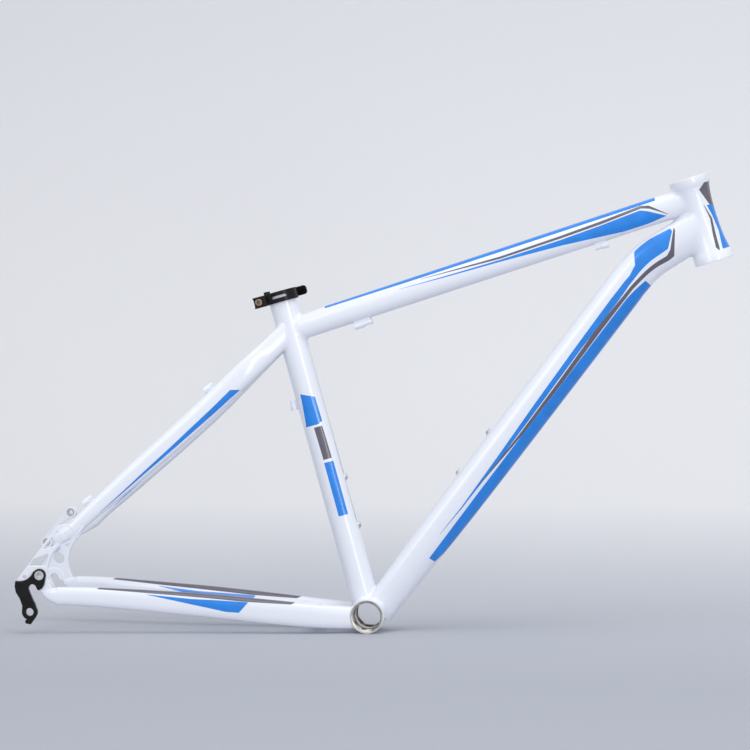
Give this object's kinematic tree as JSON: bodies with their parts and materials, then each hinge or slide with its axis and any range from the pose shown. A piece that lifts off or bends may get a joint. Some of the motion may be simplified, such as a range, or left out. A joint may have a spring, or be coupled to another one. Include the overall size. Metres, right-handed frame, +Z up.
{
  "type": "bicycle frame",
  "caption": "Diamond mountain bike frame with a tapered curved down tube, flat-plate dropouts, bolt-on derailleur hanger, disc brake mount and quick-release seat clamp.",
  "frame": {"origin": "centre of the bottom bracket shell", "axes": "+X forward, +Y to the rider's left, +Z up; the wheels stand in the plane Y = 0"},
  "size_m": [0.9104, 0.155, 0.5869],
  "materials": {
    "white_lacquer": "gloss white lacquer over aluminium tube",
    "bare_shell": "machined, lacquered white round the outside",
    "bare_mount": "bare machined",
    "black_anodised": "satin black anodised",
    "steel": "plain steel",
    "brass": "plain brass"
  },
  "bodies": {
    "frame": {"head_tube": "white_lacquer", "top_tube": "white_lacquer", "down_tube": "white_lacquer", "seat_tube": "white_lacquer", "bottom_bracket_shell": "bare_shell", "right_chainstay": "white_lacquer", "left_chainstay": "white_lacquer", "chainstay_bridge": "white_lacquer", "right_seatstay": "white_lacquer", "left_seatstay": "white_lacquer", "seatstay_bridge": "white_lacquer", "right_dropout": "white_lacquer", "left_dropout": "white_lacquer", "disc_brake_mount": "bare_mount", "derailleur_hanger": "black_anodised", "hanger_bolt": "steel", "hanger_nut": "steel", "top_tube_rear_cable_stop": "white_lacquer", "top_tube_front_cable_stop": "white_lacquer", "seatstay_upper_cable_stop": "white_lacquer", "seatstay_lower_cable_stop": "white_lacquer", "seat_tube_cable_stop": "white_lacquer", "down_tube_bottle_bosses": "white_lacquer", "down_tube_bottle_bolts": "steel", "seat_tube_bottle_bosses": "white_lacquer", "seat_tube_bottle_bolts": "steel"},
    "collar": {"seat_collar": "black_anodised", "collar_skewer": "steel", "pivot_barrel": "steel", "cam_washer": "black_anodised"},
    "lever": {"quick_release_lever": "black_anodised"},
    "nut": {"adjusting_nut": "brass"}
  },
  "joints": [
    {"name": "collar_turn", "type": "hinge", "parent": "frame", "child": "collar", "pos_m": [-0.11317, 0, 0.4081], "axis": [-0.2672, 0, 0.9636], "continuous": true},
    {"name": "lever_swing", "type": "hinge", "parent": "collar", "child": "lever", "pos_m": [-0.14102, 0.0205, 0.40037], "axis": [-0.2672, 0, 0.9636], "range_deg": [0, 170]},
    {"name": "nut_turn", "type": "hinge", "parent": "collar", "child": "nut", "pos_m": [-0.14102, 0, 0.40037], "axis": [0, 1, 0], "continuous": true}
  ]
}
